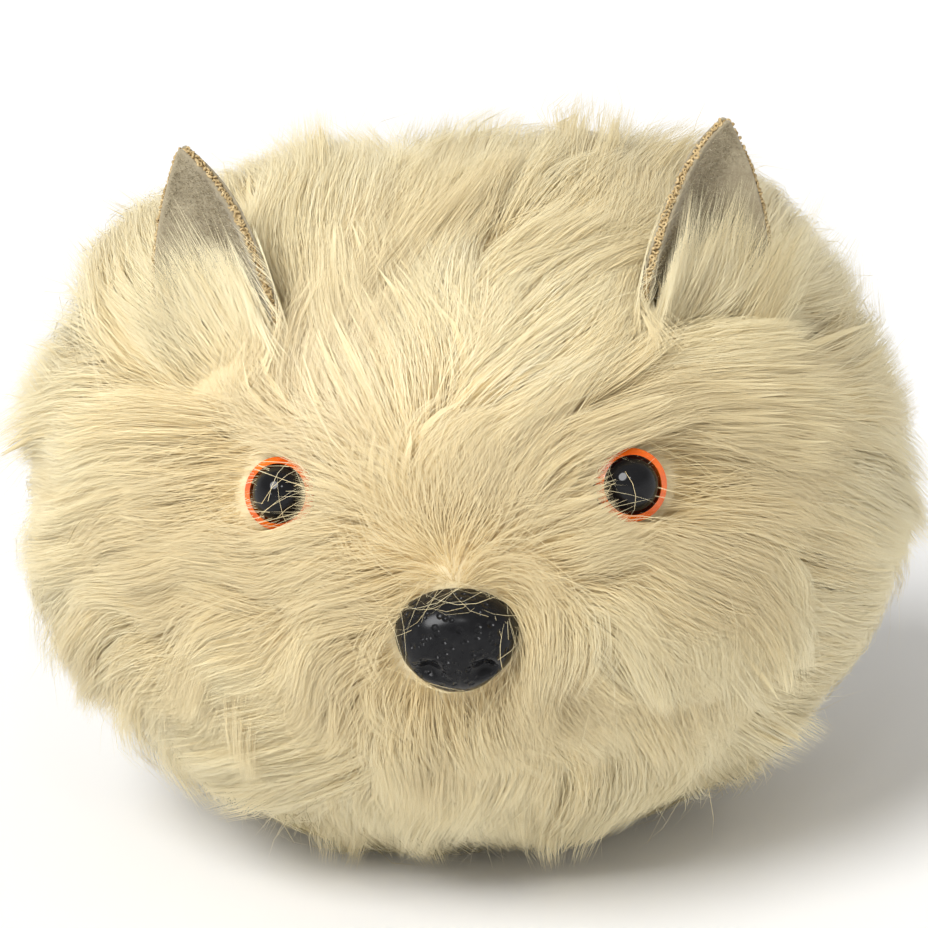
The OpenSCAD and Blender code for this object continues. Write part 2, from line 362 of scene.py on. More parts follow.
def knit_material(name):
    mat, tree, shader = node_material(name, 0.75, specular=0.25)
    fibre = noise(tree, 1100.0)
    colour = ramp(tree, fibre, [(0.3, (0.30, 0.20, 0.08)), (0.7, (0.74, 0.57, 0.31))])
    tree.links.new(colour, shader.inputs["Base Color"])
    bump(tree, shader, fibre, 0.6, 0.1 * MM)
    return mat


def thread_material():
    mat, tree, shader = node_material("tan_thread", 0.7, specular=0.25)
    twist = noise(tree, 3000.0)
    colour = ramp(tree, twist, [(0.3, (0.45, 0.33, 0.17)), (0.7, (0.72, 0.60, 0.38))])
    tree.links.new(colour, shader.inputs["Base Color"])
    return mat


def stuffing_material():
    mat, tree, shader = node_material("fibrefill", 0.95, specular=0.1)
    wisps = noise(tree, 300.0, detail=8.0)
    colour = ramp(tree, wisps, [(0.3, (0.70, 0.70, 0.68)), (0.7, (0.93, 0.93, 0.91))])
    tree.links.new(colour, shader.inputs["Base Color"])
    bump(tree, shader, wisps, 0.6, 1.0 * MM)
    return mat


def plastic_material(name, dark, light, roughness, specular=0.5, coat=0.0, grain=0.0):
    mat, tree, shader = node_material(name, roughness, specular=specular, coat=coat)
    cloud = noise(tree, 350.0)
    tree.links.new(
        ramp(tree, cloud, [(0.3, dark), (0.7, light)]), shader.inputs["Base Color"]
    )
    shader.inputs["Coat Roughness"].default_value = 0.04
    if grain:
        bump(tree, shader, noise(tree, 1500.0), grain, 0.1 * MM)
    return mat


# ---- long pile: strands that grow along the ball, gathered into locks ----

SEGMENTS = 4
STEPS = np.linspace(0, 1, SEGMENTS + 1)
PARTING_RISE, BROW_RISE = 3.0, 14.0
PARTING = surface(directions(PARTING_RISE, 0.0), np.array(0.0))
EYE_LINE = surface(directions(EYE_RISE + BROW_RISE, EYE_SIDE), np.array(0.0))[2]
FLOOR_GAP = 0.3 * MM
WAVES, WAVE_SHARE = 6, 2.4

DOWN, DOWN_LOW, DOWN_BACK, DOWN_SIDE = 0.05, 0.75, 0.9, 0.45
LOW_FADE = 30 * MM
CROWN_SWEEP, SIDE_SWEEP = 0.6, 0.6
TWIST, TWIST_SIZE = 0.30, 14 * MM
TANGLE, TANGLE_SIZE, TANGLE_R = 0.5, 4 * MM, 28 * MM

# Reach and strength of the painted shade that darkens the pile round the eyes and the nose.
SOCKET_SHADE_R, SOCKET_SHADE = 21 * MM, 0.95
SHOULDER = unit(np.array([0.70, 0.10, 0.68]))
SHOULDER_RISE, SHOULDER_FOCUS, LEFT_RISE = 0.55, 10, 0.13


def smooth_noise(p, scale, seed):
    """A smooth value near -1 to 1 at each point, from a few waves in fixed random directions."""
    rng = np.random.default_rng(seed)
    total = np.zeros(p.shape[:-1])
    for _ in range(WAVES):
        wave = rng.normal(size=3) / scale
        total += np.sin(p @ wave + rng.uniform(0, 2 * math.pi)) / WAVE_SHARE
    return total


def combing(p, u):
    """The direction that the pile lies in: away from the parting over the nose, and down."""
    n = outward(u)
    away = p - PARTING
    back = np.clip((p[..., 1] - CENTRE[1]) / HALF[1], 0, 1)
    low = np.clip((EYE_LINE - p[..., 2]) / LOW_FADE, 0, 1)
    side = np.abs(u[..., 0]) ** 3
    down = DOWN + DOWN_LOW * low + DOWN_BACK * back + DOWN_SIDE * side
    sweep = CROWN_SWEEP * np.clip(u[..., 2], 0, 1) * np.clip(-u[..., 1] + 0.3, 0, 1)
    pull = unit(away) + np.stack([sweep, SIDE_SWEEP * side, -down], -1)
    f = unit(pull - (pull * n).sum(-1, keepdims=True) * n)
    tangle = TANGLE * np.exp(-((np.linalg.norm(away, axis=-1) / TANGLE_R) ** 2))
    twist = TWIST * smooth_noise(p, TWIST_SIZE, 3) + tangle * smooth_noise(p, TANGLE_SIZE, 5)
    return unit(f + np.cross(n, f) * twist[..., None])


def painted_socket_shade(p):
    """How near each point is to an eye or the nose, for the painted shade that darkens the pile in the hollows
    round them.
    """
    away = [np.linalg.norm(p - place[0], axis=-1) for place in (*EYES.values(), NOSE)]
    return np.exp(-((np.min(away, axis=0) / SOCKET_SHADE_R) ** 2))


def fullness(u):
    """The pile stands deeper on the shoulders of the head, and a little more on the left."""
    folded = np.stack([np.abs(u[:, 0]), u[:, 1], u[:, 2]], -1)
    near = np.clip(folded @ SHOULDER, 0, 1)
    return 1 + SHOULDER_RISE * near**SHOULDER_FOCUS - LEFT_RISE * u[:, 0] ** 3


def grow(u, length, height, swerve, lift):
    """Paths of strands rooted over directions u. They rise to height and lie along the combing."""
    path = [surface(u, np.zeros(len(u)))]
    step = length / SEGMENTS
    before = np.zeros(len(u))
    for s in STEPS[1:]:
        now = height * (1 - (1 - s) ** lift)
        forward = np.sqrt(np.maximum(step**2 - (now - before) ** 2, (0.25 * step) ** 2))
        p = path[-1]
        f = combing(p, u)
        n = outward(u)
        f = f * np.cos(swerve)[:, None] + np.cross(n, f) * np.sin(swerve)[:, None]
        u = direction_of(p + f * forward[:, None])
        path.append(surface(u, now))
        before = now
    return np.stack(path, 1)


def roots(count):
    """Directions spread evenly over the ball."""
    k = np.arange(count) + 0.5
    x = 1 - 2 * k / count
    turn = k * math.pi * (3 - math.sqrt(5))
    r = np.sqrt(1 - x**2)
    return np.stack([x, -r * np.cos(turn), r * np.sin(turn)], -1)


def scatter(u, times, spread):
    """Each direction repeated, moved sideways at random by about spread."""
    u = np.repeat(u, times, axis=0)
    return unit(u + RNG.normal(size=u.shape) * (spread / HALF))


def gather(paths, guides, hold, power):
    """Draws each path towards its guide, more towards the tip."""
    weight = (np.reshape(hold, (-1, 1)) * STEPS**power)[..., None]
    return paths * (1 - weight) + guides * weight


def wavy(paths, size, turns):
    """Bends each path sideways in a gentle random wave that grows to the tip."""
    count = len(paths)
    along = unit(paths[:, -1] - paths[:, 0])
    side = unit(np.cross(along, unit(RNG.normal(size=(count, 3)))))
    phase = RNG.uniform(0, 2 * math.pi, (count, 1))
    rate = turns * 2 * math.pi * RNG.uniform(0.6, 1.3, (count, 1))
    swing = (np.sin(phase + rate * STEPS) - np.sin(phase)) * STEPS * size
    return paths + swing[..., None] * side[:, None, :]


MASSES = 220
LOCKS = 2500
SUBLOCKS = 6
FACE_STRANDS, SIDE_STRANDS, REAR_STRANDS = 28, 17, 10
ROOT_L, PILE_L = 12 * MM, 25 * MM
UNDER_SINK = 4.5 * MM

MASS_SIZE, MASS_SWERVE, MASS_LIFT = (0.80, 1.22), 0.26, (1.3, 2.0)
PROUD_SHARE, PROUD_RISE, PROUD_BACK, PROUD_LIFT = 0.28, 1.5, 0.15, (0.85, 1.1)
TUFT_SHARE, TUFT_RISE, RISE_LIMIT, TUFT_LIFT = 0.10, 1.38, 1.6, 1.15
LAID_OVER = 0.6
LOCK_SIZE, LOCK_SWERVE, SUB_SWERVE, STRAND_SWERVE = (0.86, 1.1), 0.10, 0.07, 0.06
LOCK_SPREAD, STRAND_SPREAD = 2.7 * MM, 1.5 * MM
SIDE_FROM, FACE_FROM = -0.1, 0.35
MASS_HOLD, PROUD_HOLD, TUFT_HOLD = 0.5, 0.72, 0.15
LOCK_HOLD, TUFT_POINT, STRAND_HOLD = 0.58, 0.85, 0.62
FREE_SHARE, FREE_HOLD, FREE_SWERVE = 0.05, 0.1, 5


def strand_length(full):
    """How long the pile is where it stands full deep."""
    return ROOT_L + PILE_L * full / PILE


def grow_masses():
    """The broad masses: root directions, sizes, swerves, lifts, which stand proud, and paths."""
    u = unit(roots(MASSES) + RNG.normal(size=(MASSES, 3)) * 0.05)
    size = RNG.uniform(*MASS_SIZE, MASSES)
    swerve = RNG.normal(0, MASS_SWERVE, MASSES)
    lift = RNG.uniform(*MASS_LIFT, MASSES)
    proud = (RNG.random(MASSES) < PROUD_SHARE) & (u[:, 1] < PROUD_BACK)
    lift[proud] = RNG.uniform(*PROUD_LIFT, proud.sum())
    full = pile_depth(u)
    rise = fullness(u) * np.where(proud, PROUD_RISE, 0.97)
    height = full * (0.25 + 0.8 * size) * rise
    paths = grow(u, strand_length(full) * size * 1.05, height, swerve, lift)
    return u, size, swerve, lift, proud, paths


def long_pile():
    """Strands of the ball and the soft tufts under them: root directions, paths and tones."""
    mass_u, mass_size, mass_swerve, mass_lift, proud, masses = grow_masses()

    lock_u = unit(roots(LOCKS) + RNG.normal(size=(LOCKS, 3)) * 0.02)
    owner = np.argmax(lock_u @ mass_u.T, 1)
    full = pile_depth(lock_u)
    size = RNG.uniform(*LOCK_SIZE, LOCKS) * mass_size[owner]
    tuft = RNG.random(LOCKS) < TUFT_SHARE
    rise = np.minimum(fullness(lock_u) * np.where(tuft, TUFT_RISE, 1.0), RISE_LIMIT)
    swerve = 0.75 * mass_swerve[owner] + RNG.normal(0, LOCK_SWERVE, LOCKS)

    def shape(parents, spread):
        jitter = RNG.normal(1, spread, len(parents))
        length = strand_length(full[parents]) * size[parents] * jitter
        length = length * (1 + LAID_OVER * (rise[parents] - 1))
        height = RNG.uniform(0.86, 1.04, len(parents)) * (0.25 + 0.75 * size[parents])
        return length, height * full[parents] * rise[parents]

    every = np.arange(LOCKS)
    lift = np.where(tuft, np.minimum(mass_lift[owner], TUFT_LIFT), mass_lift[owner])
    hold = np.where(tuft, TUFT_HOLD, np.where(proud, PROUD_HOLD, MASS_HOLD)[owner])
    locks = grow(lock_u, *shape(every, 0.06), swerve, lift)
    locks = gather(wavy(locks, 1.2 * MM, 0.5), masses[owner], hold, 1.3)

    parents = np.repeat(every, SUBLOCKS)
    sub_u = scatter(lock_u, SUBLOCKS, LOCK_SPREAD)
    sub_swerve = swerve[parents] + RNG.normal(0, SUB_SWERVE, len(parents))
    subs = grow(sub_u, *shape(parents, 0.08), sub_swerve, lift[parents])
    point = np.where(tuft, TUFT_POINT, LOCK_HOLD)[parents]
    subs = gather(wavy(subs, 0.7 * MM, 0.6), locks[parents], point, 1.2)

    facing = -sub_u[:, 1]
    crowd = np.where(facing > SIDE_FROM, SIDE_STRANDS, REAR_STRANDS)
    crowd[facing > FACE_FROM] = FACE_STRANDS
    strands = np.repeat(np.arange(len(sub_u)), crowd)
    own = parents[strands]
    strand_u = scatter(sub_u, crowd, STRAND_SPREAD)
    free = RNG.random(len(strands)) < FREE_SHARE
    stray = RNG.normal(0, STRAND_SWERVE, len(strands)) * np.where(free, FREE_SWERVE, 1)
    paths = grow(strand_u, *shape(own, 0.16), sub_swerve[strands] + stray, lift[own])
    paths = wavy(paths, 0.45 * MM, 0.8)
    paths = gather(paths, subs[strands], np.where(free, FREE_HOLD, STRAND_HOLD), 1.0)

    lock_tone = 0.10 * RNG.normal(size=LOCKS) + 0.13 * RNG.normal(size=MASSES)[owner]
    sub_tone = 0.5 + lock_tone[parents] + 0.07 * RNG.normal(size=len(sub_u))
    tone = sub_tone[strands] + 0.10 * RNG.normal(size=len(strands))
    # Painted shade: the tone is pulled down near the eyes and the nose, as if the hollows round them were in
    # shade.
    tone = np.clip(tone - SOCKET_SHADE * painted_socket_shade(paths[:, 0]), 0, 1)
    sink = UNDER_SINK * (pile_depth(sub_u) / PILE)[:, None, None] * STEPS[:, None]
    under = subs - outward(sub_u)[:, None, :] * sink
    return (strand_u, paths, tone), (sub_u, under, np.clip(sub_tone, 0, 1))


FINE_STEPS = np.linspace(0, 1, 17)
FITTING_REACH = 50 * MM
KEPT_SHARE = 0.3


def along_path(paths, at):
    """Points of each path at fractions of its steps: at has one row for each path."""
    place = np.clip(at, 0, 1) * SEGMENTS
    k = np.minimum(place.astype(int), SEGMENTS - 1)
    part = (place - k)[..., None]
    row = np.arange(len(paths))[:, None]
    return paths[row, k] * (1 - part) + paths[row, k + 1] * part


def clear_fitting(paths, place, middle, radius, stray):
    """Trims the pile short of an eye or the nose. A few stray strands still cross it."""
    near = np.flatnonzero(np.linalg.norm(paths[:, 0] - place[0], axis=-1) < FITTING_REACH)
    near = near[RNG.random(len(near)) > stray]
    local = to_local(paths[near], place)
    fine = along_path(local, np.tile(FINE_STEPS, (len(near), 1)))
    r = np.linalg.norm((fine[..., :2] - middle) / radius, axis=-1)
    over = (r < 1) & (fine[..., 2] > -4 * MM)
    crossing = over.any(1)
    enter = FINE_STEPS[over.argmax(1)] * RNG.uniform(0.85, 1.0, len(near))
    keep = np.where(crossing, enter, 1.0)
    paths[near] = along_path(paths[near], keep[:, None] * STEPS)
    lost = np.zeros(len(paths), bool)
    lost[near] = keep < KEPT_SHARE
    return paths, lost


def clear_ear(paths, place):
    """Keeps each strand on the side of the ear that it is rooted on."""
    local = to_local(paths, place)
    x, y, z = local[..., 0], local[..., 1], local[..., 2]
    depth = np.hypot(x, y + CUP_R) - CUP_R
    behind = depth[:, :1] > EAR_T / 2
    inside = (z > -2 * MM) & (np.abs(x) < ear_half_width(z) + 1.2 * MM)
    wanted = np.where(behind, np.maximum(depth, EAR_T + 0.4 * MM), np.minimum(depth, -0.4 * MM))
    turn = np.arctan2(x, y + CUP_R)
    r = wanted + CUP_R
    local[..., 0] = np.where(inside, r * np.sin(turn), x)
    local[..., 1] = np.where(inside, r * np.cos(turn) - CUP_R, y)
    return to_row(local, place)


def above_floor(paths):
    paths[..., 2] = np.maximum(paths[..., 2], FLOOR_GAP)
    return paths


STRAND_W = 0.12 * MM
UNDER_W = 1.5 * MM
COAT_SHARE = 0.8
STRAND_TAPER = 0.15 + 0.85 * (1 - STEPS**2.2)
UNDER_TAPER = np.interp(STEPS, [0, 0.25, 0.5, 0.8, 1], [0.6, 1.0, 0.95, 0.5, 0.1])


def ribbons(name, paths, tone, material, width, taper, roll):
    """One ribbon for each path, closed to a point, shaded COAT_SHARE as part of the coat."""
    count = len(paths)
    tangent = unit(np.gradient(paths, axis=1))
    coat = outward(direction_of(paths))
    across = unit(np.cross(tangent, coat))
    up = np.cross(across, tangent)
    turn = RNG.normal(0, roll, count)[:, None, None]
    across, up = (
        across * np.cos(turn) + up * np.sin(turn),
        up * np.cos(turn) - across * np.sin(turn),
    )
    size = width * RNG.uniform(0.6, 1.3, (count, 1, 1))
    offset = across * size * taper[None, :, None] / 2
    left = (paths - offset)[:, :-1]
    right = (paths + offset)[:, :-1]
    pairs = np.stack([left, right], 2).reshape(count, -1, 3)
    verts = np.concatenate([pairs, paths[:, -1:]], 1)
    per = verts.shape[1]
    base = np.arange(count)[:, None] * per
    quads = [
        np.stack([base + 2 * i, base + 2 * i + 1, base + 2 * i + 3, base + 2 * i + 2], -1)
        for i in range(SEGMENTS - 1)
    ]
    faces_4 = np.concatenate(quads, 1).reshape(-1, 4)
    last = 2 * (SEGMENTS - 1)
    faces_3 = np.concatenate([base + last, base + last + 1, base + last + 2], 1)
    piece = new_piece(name, verts.reshape(-1, 3), faces_4, faces_3, material)
    soft = unit(COAT_SHARE * coat + (1 - COAT_SHARE) * up)
    normals = np.concatenate([np.repeat(soft[:, :-1], 2, axis=1), soft[:, -1:]], 1)
    layer = piece.data.attributes.new("custom_normal", "FLOAT_VECTOR", "POINT")
    layer.data.foreach_set("vector", normals.astype(np.float32).ravel())
    along = np.concatenate([np.repeat(STEPS[:-1], 2), [1.0]])
    side = np.concatenate([np.tile([0.0, 1.0], SEGMENTS), [0.5]])
    write_attribute(piece.data, "along", np.tile(along, count))
    write_attribute(piece.data, "across", np.tile(side, count))
    write_attribute(piece.data, "tone", np.repeat(tone, per))
    return piece


def panel_of(u):
    """The name of the fur panel that each direction lies on, and whether it is at the front."""
    a, t = angles(u)
    a = a % 360
    names = np.full(len(u), "fur_face", dtype=object)
    for start, name in (
        (FACE_TOP, "fur_crown"),
        (CROWN_END, "fur_back"),
        (BACK_END, "fur_base"),
        (BASE_END, "fur_chin"),
        (CHIN_END, "fur_face"),
    ):
        names[a >= start] = name
    names[t > SIDE_SEAM] = "fur_side_right"
    names[t < -SIDE_SEAM] = "fur_side_left"
    return names, u[:, 1] < 0.1


PANELS = (
    "fur_crown",
    "fur_face",
    "fur_chin",
    "fur_back",
    "fur_base",
    "fur_side_left",
    "fur_side_right",
)
REAR_W = 1.7
PIECE_STRANDS = 26000
TUFT_REACH, FOOT_REACH = 11 * MM, 20 * MM
EYE_CLEAR = np.array([7.2, 7.4]) * MM
EYE_SHIFT = 2.0 * MM
NOSE_CLEAR = np.array([NOSE_W, NOSE_H]) * 0.475
NOSE_DROP = 0.9 * MM
EYE_CROSSING, NOSE_CROSSING = 0.04, 0.03
NOSE_BARE, EYE_BARE = 24 * MM, 12 * MM


def part_pile(paths, eye_stray, nose_stray):
    """Opens the pile round the eyes, the nose and the ears, and rests it on the floor."""
    lost = np.zeros(len(paths), bool)
    for side, place in EYES.items():
        middle = np.array([SIGN[side] * EYE_SHIFT, 0])
        paths, cut = clear_fitting(paths, place, middle, EYE_CLEAR, eye_stray)
        lost |= cut
    middle = np.array([0, -NOSE_DROP])
    paths, cut = clear_fitting(paths, NOSE, middle, NOSE_CLEAR, nose_stray)
    lost |= cut
    for place in EARS.values():
        paths = clear_ear(paths, place)
    return above_floor(paths), lost


def cover_panel(piece, panel):
    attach(piece, "head")
    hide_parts(panel)


def follow_ear(piece):
    """Bakes the piece's placement into its mesh; it is tied to neither the head nor an ear."""
    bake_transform(piece)


def near_ear(paths):
    """The ear that each path is rooted beside, or an empty name."""
    beside = np.full(len(paths), "", dtype=object)
    for side, place in EARS.items():
        foot = to_local(paths[:, 0], place)
        near = np.abs(foot[:, 0]) < EAR_W / 2 + 3 * MM
        near &= (np.abs(foot[:, 1] + 2 * MM) < TUFT_REACH) & (np.abs(foot[:, 2]) < FOOT_REACH)
        beside[near] = side
    return beside


COVER_TUFTS, COVER_STRANDS = 100, 50
COVER_WIDE, COVER_TOP = 0.56, 22
COVER_AHEAD, COVER_NEAR = (0.8, 10), (0.6, 3.5)
COVER_DRIFT = 3.5 * MM, 3.0 * MM
COVER_LOOSE = np.array([2.4, 1.4, 4.0, 1.2, 0.6]) * MM


def curve(start, middle, end):
    """Paths from start to end that are drawn towards middle on their way."""
    s = STEPS[None, :, None]
    first = start[:, None] * (1 - s) + middle[:, None] * s
    second = middle[:, None] * (1 - s) + end[:, None] * s
    return first * (1 - s) + second * s


def ear_cover(side):
    """Long strands rooted in front of an ear, which lie up across the foot of its hollow face."""
    place = EARS[side]

    def cup(x):
        return np.sqrt(CUP_R**2 - np.minimum(np.abs(x), 0.95 * CUP_R) ** 2) - CUP_R

    def bend(x, ahead, top, drift, near):
        foot = to_row(np.stack([x, cup(x) - ahead, np.zeros(len(x))], -1), place)
        u = direction_of(foot)
        start = surface(u, np.zeros(len(x)))
        middle = start + outward(u) * (8 * MM) + combing(start, u) * (3 * MM)
        tip_x = x * 0.85 + SIGN[side] * drift
        return curve(start, middle, to_row(np.stack([tip_x, cup(tip_x) - near, top], -1), place))

    def spread(count):
        x = RNG.uniform(-COVER_WIDE, COVER_WIDE, count) * EAR_W
        ahead = RNG.uniform(*COVER_AHEAD, count) * MM
        top = (COVER_TOP - ahead / MM) * MM * RNG.uniform(0.3, 1.3, count)
        drift = RNG.normal(*COVER_DRIFT, count)
        near = RNG.uniform(*COVER_NEAR, count) * MM + 0.12 * ahead
        return [x, ahead, top, drift, near]

    tufts = spread(COVER_TUFTS)
    guides = bend(*tufts)
    own = np.repeat(np.arange(COVER_TUFTS), COVER_STRANDS)
    loose = COVER_LOOSE[:, None] * RNG.normal(size=(len(tufts), len(own)))
    values = [v[own] for v in tufts] + loose
    values[1] = np.maximum(values[1], 0.6 * MM)
    values[4] = np.maximum(values[4], 0.5 * MM)
    paths = gather(wavy(bend(*values), 0.5 * MM, 0.7), guides[own], 0.5, 1.2)
    tone = 0.52 + 0.1 * RNG.normal(size=COVER_TUFTS)[own] + 0.14 * RNG.normal(size=len(own))
    return paths, np.clip(tone, 0, 1)


def stray_fibres(place, count, pick, dome):
    """Fine loose fibres that lie across a fitting. pick gives chords, dome its height."""
    middle, turn, length = pick(count)
    along = np.stack([np.cos(turn), np.sin(turn)], -1)[:, None]
    across = np.stack([-np.sin(turn), np.cos(turn)], -1)[:, None]
    s = STEPS[None, :, None]
    sag = RNG.normal(0, 0.08, (count, 1, 1)) * length[:, None, None] * 4 * s * (1 - s)
    flat = middle[:, None] + along * (length[:, None, None] * (s - 0.5)) + across * sag
    height = dome(flat) + RNG.uniform(0.2, 0.9, (count, 1)) * MM
    return to_row(np.concatenate([flat, height[..., None]], -1), place)


EYE_RIM, EYE_DOME, NOSE_RIM = 1.6 * MM, 5.2 * MM, 0.6 * MM


def eye_dome(flat):
    """The height of an eye's face over a point of its seat."""
    r = np.linalg.norm(flat, axis=-1) / EYE_R
    return BACKING + EYE_RIM + EYE_DOME * np.sqrt(np.clip(1 - r**2, 0, 1))


def nose_dome(flat):
    """The height of the nose over a point of its seat."""
    r = np.linalg.norm(flat / np.array([NOSE_W / 2, NOSE_H / 2]), axis=-1)
    return BACKING + NOSE_RIM + (NOSE_T - NOSE_RIM) * np.sqrt(np.clip(1 - r ** (8 / 3), 0, 1))


def eye_chords(sign):
    """Chords over the inner half of an eye, where the fibres of the nose bridge reach it."""

    def pick(count):
        inner = -sign * EYE_R * RNG.uniform(0.1, 1.15, count)
        middle = np.stack([inner, EYE_R * RNG.normal(0, 0.5, count)], -1)
        return middle, RNG.normal(0.9, 0.7, count) * -sign, EYE_R * RNG.uniform(1.0, 2.2, count)

    return pick


def nose_chords(count):
    """Most lie along the top edge, and the rest cross the sides and the foot."""
    top = RNG.random(count) < 0.8
    angle = np.where(
        top, math.pi / 2 + RNG.normal(0, 0.65, count), RNG.normal(-0.7, 0.9, count)
    )
    out = np.where(top, RNG.uniform(0.88, 1.12, count), RNG.uniform(0.72, 1.15, count))
    middle = np.stack([NOSE_W / 2 * out * np.cos(angle), NOSE_H / 2 * out * np.sin(angle)], -1)
    turn = angle + math.pi / 2 + RNG.normal(0, 0.35, count)
    return middle, turn, NOSE_W * RNG.uniform(0.3, 0.7, count)


EYE_STRAYS, NOSE_STRAYS = 9, 70
STRAY_W = 0.07 * MM


def build_strays(material):
    paths = [
        stray_fibres(place, EYE_STRAYS, eye_chords(SIGN[side]), eye_dome)
        for side, place in EYES.items()
    ]
    paths = np.concatenate([*paths, stray_fibres(NOSE, NOSE_STRAYS, nose_chords, nose_dome)])
    tone = RNG.uniform(0.1, 0.6, len(paths))
    piece = ribbons("face_strays", paths, tone, material, STRAY_W, STRAND_TAPER, 0.4)
    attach(piece, "head")


def cover_with_strands(u, paths, tone, chosen, material):
    """The strands of every panel, in pieces of at most PIECE_STRANDS."""
    names, front = panel_of(u)
    for panel in PANELS:
        own = np.flatnonzero((names == panel) & chosen)
        own = own[np.argsort(u[own, 1 if "side" in panel else 0], kind="stable")]
        count = math.ceil(len(own) / PIECE_STRANDS)
        for k, part in enumerate(np.array_split(own, count)):
            wide = np.where(front[part], 1.0, REAR_W).mean()
            name, width = f"{panel}_pile_{k + 1}", STRAND_W * wide
            piece = ribbons(name, paths[part], tone[part], material, width, STRAND_TAPER, 0.5)
            cover_panel(piece, panel)


def cover_with_tufts(u, paths, tone, material):
    """The broad soft tufts under the strands, left out close to the eyes, nose and ears."""
    paths, lost = part_pile(paths, 0.0, 0.0)
    names, _ = panel_of(u)
    lost |= np.linalg.norm(paths[:, 0] - NOSE[0], axis=-1) < NOSE_BARE
    for place in EYES.values():
        lost |= np.linalg.norm(paths[:, 0] - place[0], axis=-1) < EYE_BARE
    lost |= near_ear(paths) != ""
    for panel in PANELS:
        own = (names == panel) & ~lost
        name = f"{panel}_under"
        piece = ribbons(name, paths[own], tone[own], material, UNDER_W, UNDER_TAPER, 0.15)
        cover_panel(piece, panel)


def build_ear_tufts(paths, tone, beside, material):
    """The pile round each ear's foot: the ball's own behind it, and longer strands in front."""
    for side, place in EARS.items():
        cover, cover_tone = ear_cover(side)
        behind = (beside == side) & ~(to_local(paths[:, 0], place)[:, 1] < 0)
        both = np.concatenate([paths[behind], above_floor(clear_ear(cover, place))])
        shade = np.concatenate([tone[behind], cover_tone])
        name = f"ear_tuft_{side}"
        follow_ear(ribbons(name, both, shade, material, STRAND_W, STRAND_TAPER, 0.5))


def build_fur(material, broad_material):
    (u, paths, tone), under = long_pile()
    paths, lost = part_pile(paths, EYE_CROSSING, NOSE_CROSSING)
    beside = near_ear(paths)
    cover_with_strands(u, paths, tone, ~lost & (beside == ""), material)
    cover_with_tufts(*under, broad_material)
    build_ear_tufts(paths, tone, beside, material)


# ---- the skin under the pile, and the stuffing inside it ----


def ball_mesh(name, height, material):
    """A closed mesh round the ball whose points stand height(direction) above the skin."""
    rows, columns = 60, 96
    a = np.linspace(0, 360, columns, endpoint=False)
    t = np.linspace(-88, 88, rows)
    grid_a, grid_t = np.meshgrid(a, t)
    u = directions(grid_a, grid_t).reshape(-1, 3)
    u = np.concatenate([u, directions(np.zeros(2), np.array([-90.0, 90.0]))])
    points = rows * columns
    left = closing_fan(0, columns, points, True)
    right = closing_fan(points - columns, columns, points + 1, False)
    ends = np.concatenate([left, right])
    return new_piece(name, surface(u, height(u)), grid_faces(rows, columns), ends, material)


def build_backing(material):
    piece = ball_mesh("fur_backing", lambda u: np.full(len(u), BACKING / 3), material)
    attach(piece, "head")


LUMP = 0.5 * MM


def build_stuffing(material):
    """Lumpy fibre, pressed out against the skin."""

    def lumps(u):
        return -LUMP * (1.4 + smooth_noise(u, 0.10, 21) + 0.4 * smooth_noise(u, 0.04, 22))

    piece = ball_mesh("stuffing_fibre", lumps, material)
    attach(piece, "head")
    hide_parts("stuffing")


# ---- ears ----

RIM, KNIT_RIM = 0.5 * MM, 0.3 * MM


def ear_sheet(side, layer, depth, thick, rim, material):
    """One layer of the ear: cloth with a rounded edge and slight waves, on the cup."""
    name, node = f"ear_{layer}_cloth_{side}", f"ear_{layer}_{side}"
    rows, across, turns = 44, 21, 4
    z = np.concatenate([np.linspace(0, EAR_L, rows), [EAR_L + rim]])
    half = ear_half_width(np.minimum(z, EAR_L)) + rim * np.sqrt(
        np.clip(1 - np.maximum(z - EAR_L, 0) / (1.01 * rim), 0, 1)
    )
    q = np.linspace(-1, 1, across)
    bend = np.linspace(-90, 90, turns + 2)[1:-1]
    edge_out = thick / 2 * np.cos(np.radians(bend))
    edge_mid = thick / 2 * np.sin(np.radians(bend))
    x = np.concatenate([q, 1 + 0 * bend, q[::-1], -1 + 0 * bend])
    out = np.concatenate([0 * q, edge_out, 0 * q, -edge_out])
    mid = np.concatenate([0 * q - thick / 2, edge_mid, 0 * q + thick / 2, -edge_mid])
    xx = half[:, None] * x[None] + out[None]
    zz = np.repeat(z[:, None], len(x), 1)
    wave = 0.22 * MM * smooth_noise(np.stack([xx, 0 * xx, zz], -1), 5 * MM, 31 + SIGN[side])
    verts = cup_point(xx, zz, depth + thick / 2 + mid[None] + wave)
    count = len(x)
    verts = verts.reshape(-1, 3)
    points = len(verts)
    verts = np.concatenate([verts, [verts[:count].mean(0), verts[-count:].mean(0)]])
    foot = closing_fan(0, count, points, True)
    tip = closing_fan(points - count, count, points + 1, False)
    faces_4, ends = grid_faces(rows + 1, count), np.concatenate([foot, tip])
    piece = new_piece(name, to_row(verts, EARS[side]), faces_4, ends, material)
    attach(piece, f"ear_{side}")
    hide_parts(node)


def ear_layers(side, velour, knit):
    middle = VELOUR_T + 0.05 * MM
    last = VELOUR_T + KNIT_T + 0.1 * MM
    ear_sheet(side, "lining", 0, VELOUR_T, RIM, velour)
    ear_sheet(side, "knit", middle, KNIT_T, KNIT_RIM, knit)
    ear_sheet(side, "back", last, VELOUR_T, RIM, velour)


LOOP_PITCH = 0.95 * MM
LOOP_R = 0.38 * MM
LOOP_TUBE = 0.24 * MM
NAP_COUNT = 15000
NAP_L = 0.9 * MM


def cup_point(x, z, depth):
    """A point of the ear's cup: x across, z up to the tip, depth behind the lining's face."""
    r = CUP_R + depth
    turn = np.arcsin(np.clip(x / (CUP_R + EAR_T / 2), -1, 1))
    return np.stack([r * np.sin(turn), r * np.cos(turn) - CUP_R, z], -1)


